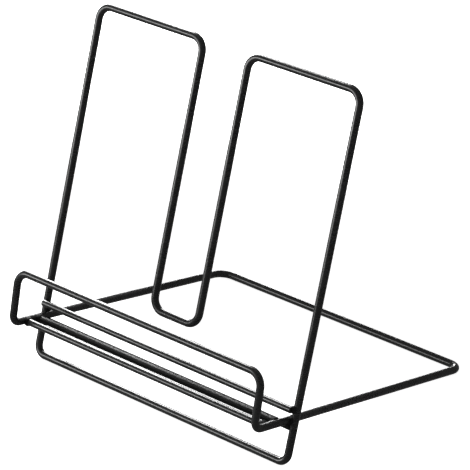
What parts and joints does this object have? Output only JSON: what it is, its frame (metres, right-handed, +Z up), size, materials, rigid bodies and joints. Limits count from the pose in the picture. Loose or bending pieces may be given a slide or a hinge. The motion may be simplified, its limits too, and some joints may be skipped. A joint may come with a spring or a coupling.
{
  "type": "book display stand",
  "caption": "Welded wire book stand: a leaning back frame with a central gap, and a crossing base frame that ends in a ledge with an upright lip.",
  "frame": {"origin": "on the table, under the middle of the stand's bounding box", "axes": "+X to the right of a reader in front, +Y towards the back, +Z up"},
  "size_m": [0.2454, 0.2194, 0.2506],
  "materials": {
    "powder_coat": "satin black powder coat",
    "coated_weld": "satin black powder coat over weld metal"
  },
  "bodies": {
    "root": {"back_frame": "powder_coat", "base_frame": "powder_coat", "upper_leg_bar": "powder_coat", "lower_leg_bar": "powder_coat", "middle_ledge_bar": "powder_coat", "front_ledge_bar": "powder_coat", "arm_welds": "coated_weld", "upper_bar_welds": "coated_weld", "ledge_bar_welds": "coated_weld"}
  },
  "joints": []
}
